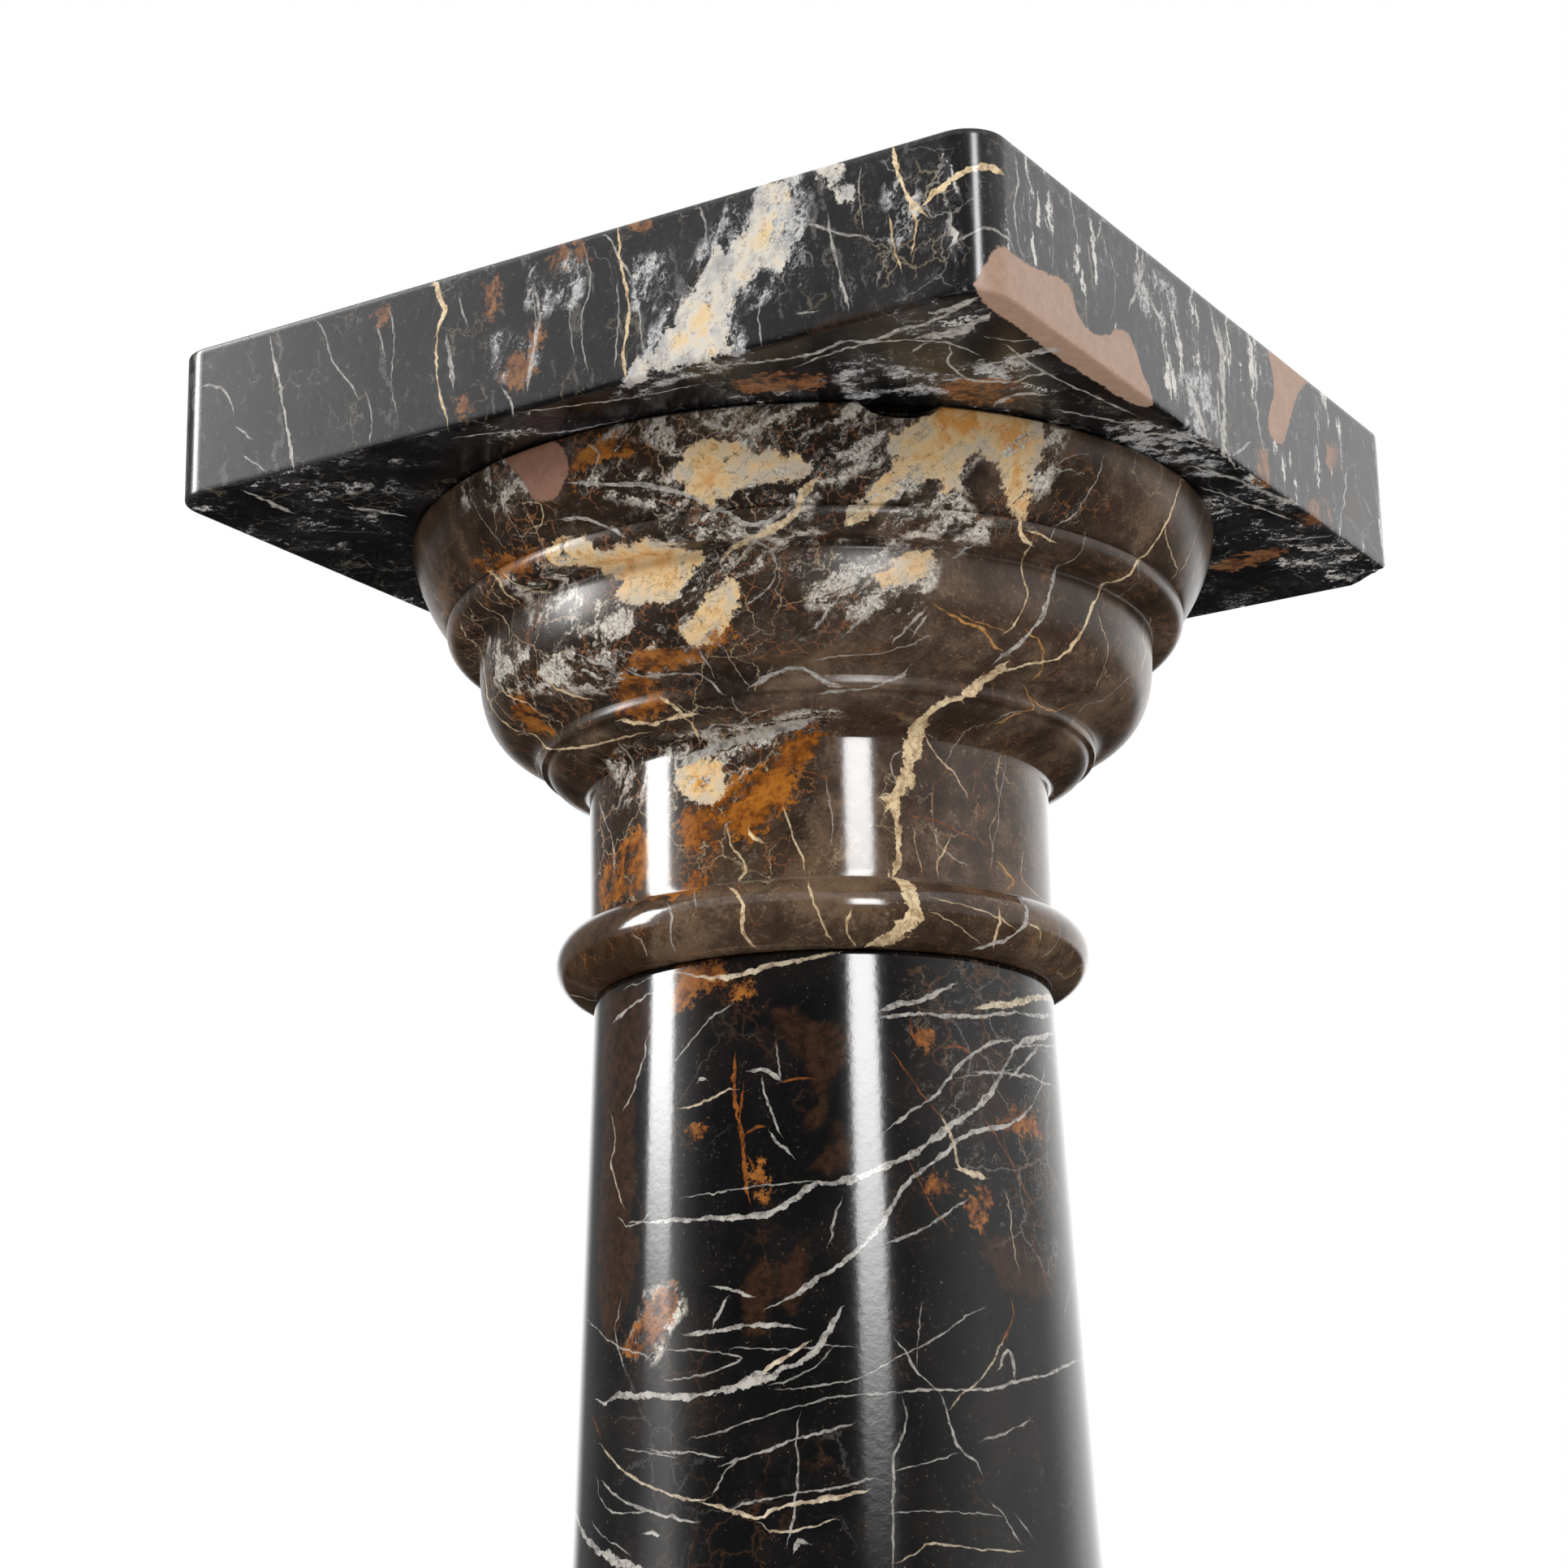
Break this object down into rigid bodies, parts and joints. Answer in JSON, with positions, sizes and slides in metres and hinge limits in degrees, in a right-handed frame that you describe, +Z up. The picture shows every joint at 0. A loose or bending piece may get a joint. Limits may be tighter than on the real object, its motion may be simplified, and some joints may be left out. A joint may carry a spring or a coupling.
{
  "type": "marble pedestal",
  "caption": "Column pedestal of veined black marble: square slab on a turned capital, tapered round shaft, turned base moulding and square plinth.",
  "frame": {"origin": "centre of the plinth's underside, on the column's axis", "axes": "+Z up the column's axis; the slab's and the plinth's sides lie along X and Y"},
  "size_m": [0.32, 0.32, 1.0489],
  "materials": {
    "slab_marble": "polished dark grey marble with white, cream and rust veins",
    "capital_marble": "polished brown-black marble with cream, grey and rust clouds and veins",
    "shaft_marble": "polished black marble with white veins and rust hairlines",
    "base_marble": "polished black marble with white and rust veins",
    "plinth_marble": "polished black marble with white veins"
  },
  "bodies": {
    "root": {"top_slab": "slab_marble", "capital": "capital_marble", "shaft": "shaft_marble", "base_moulding": "base_marble", "plinth": "plinth_marble"}
  },
  "joints": []
}
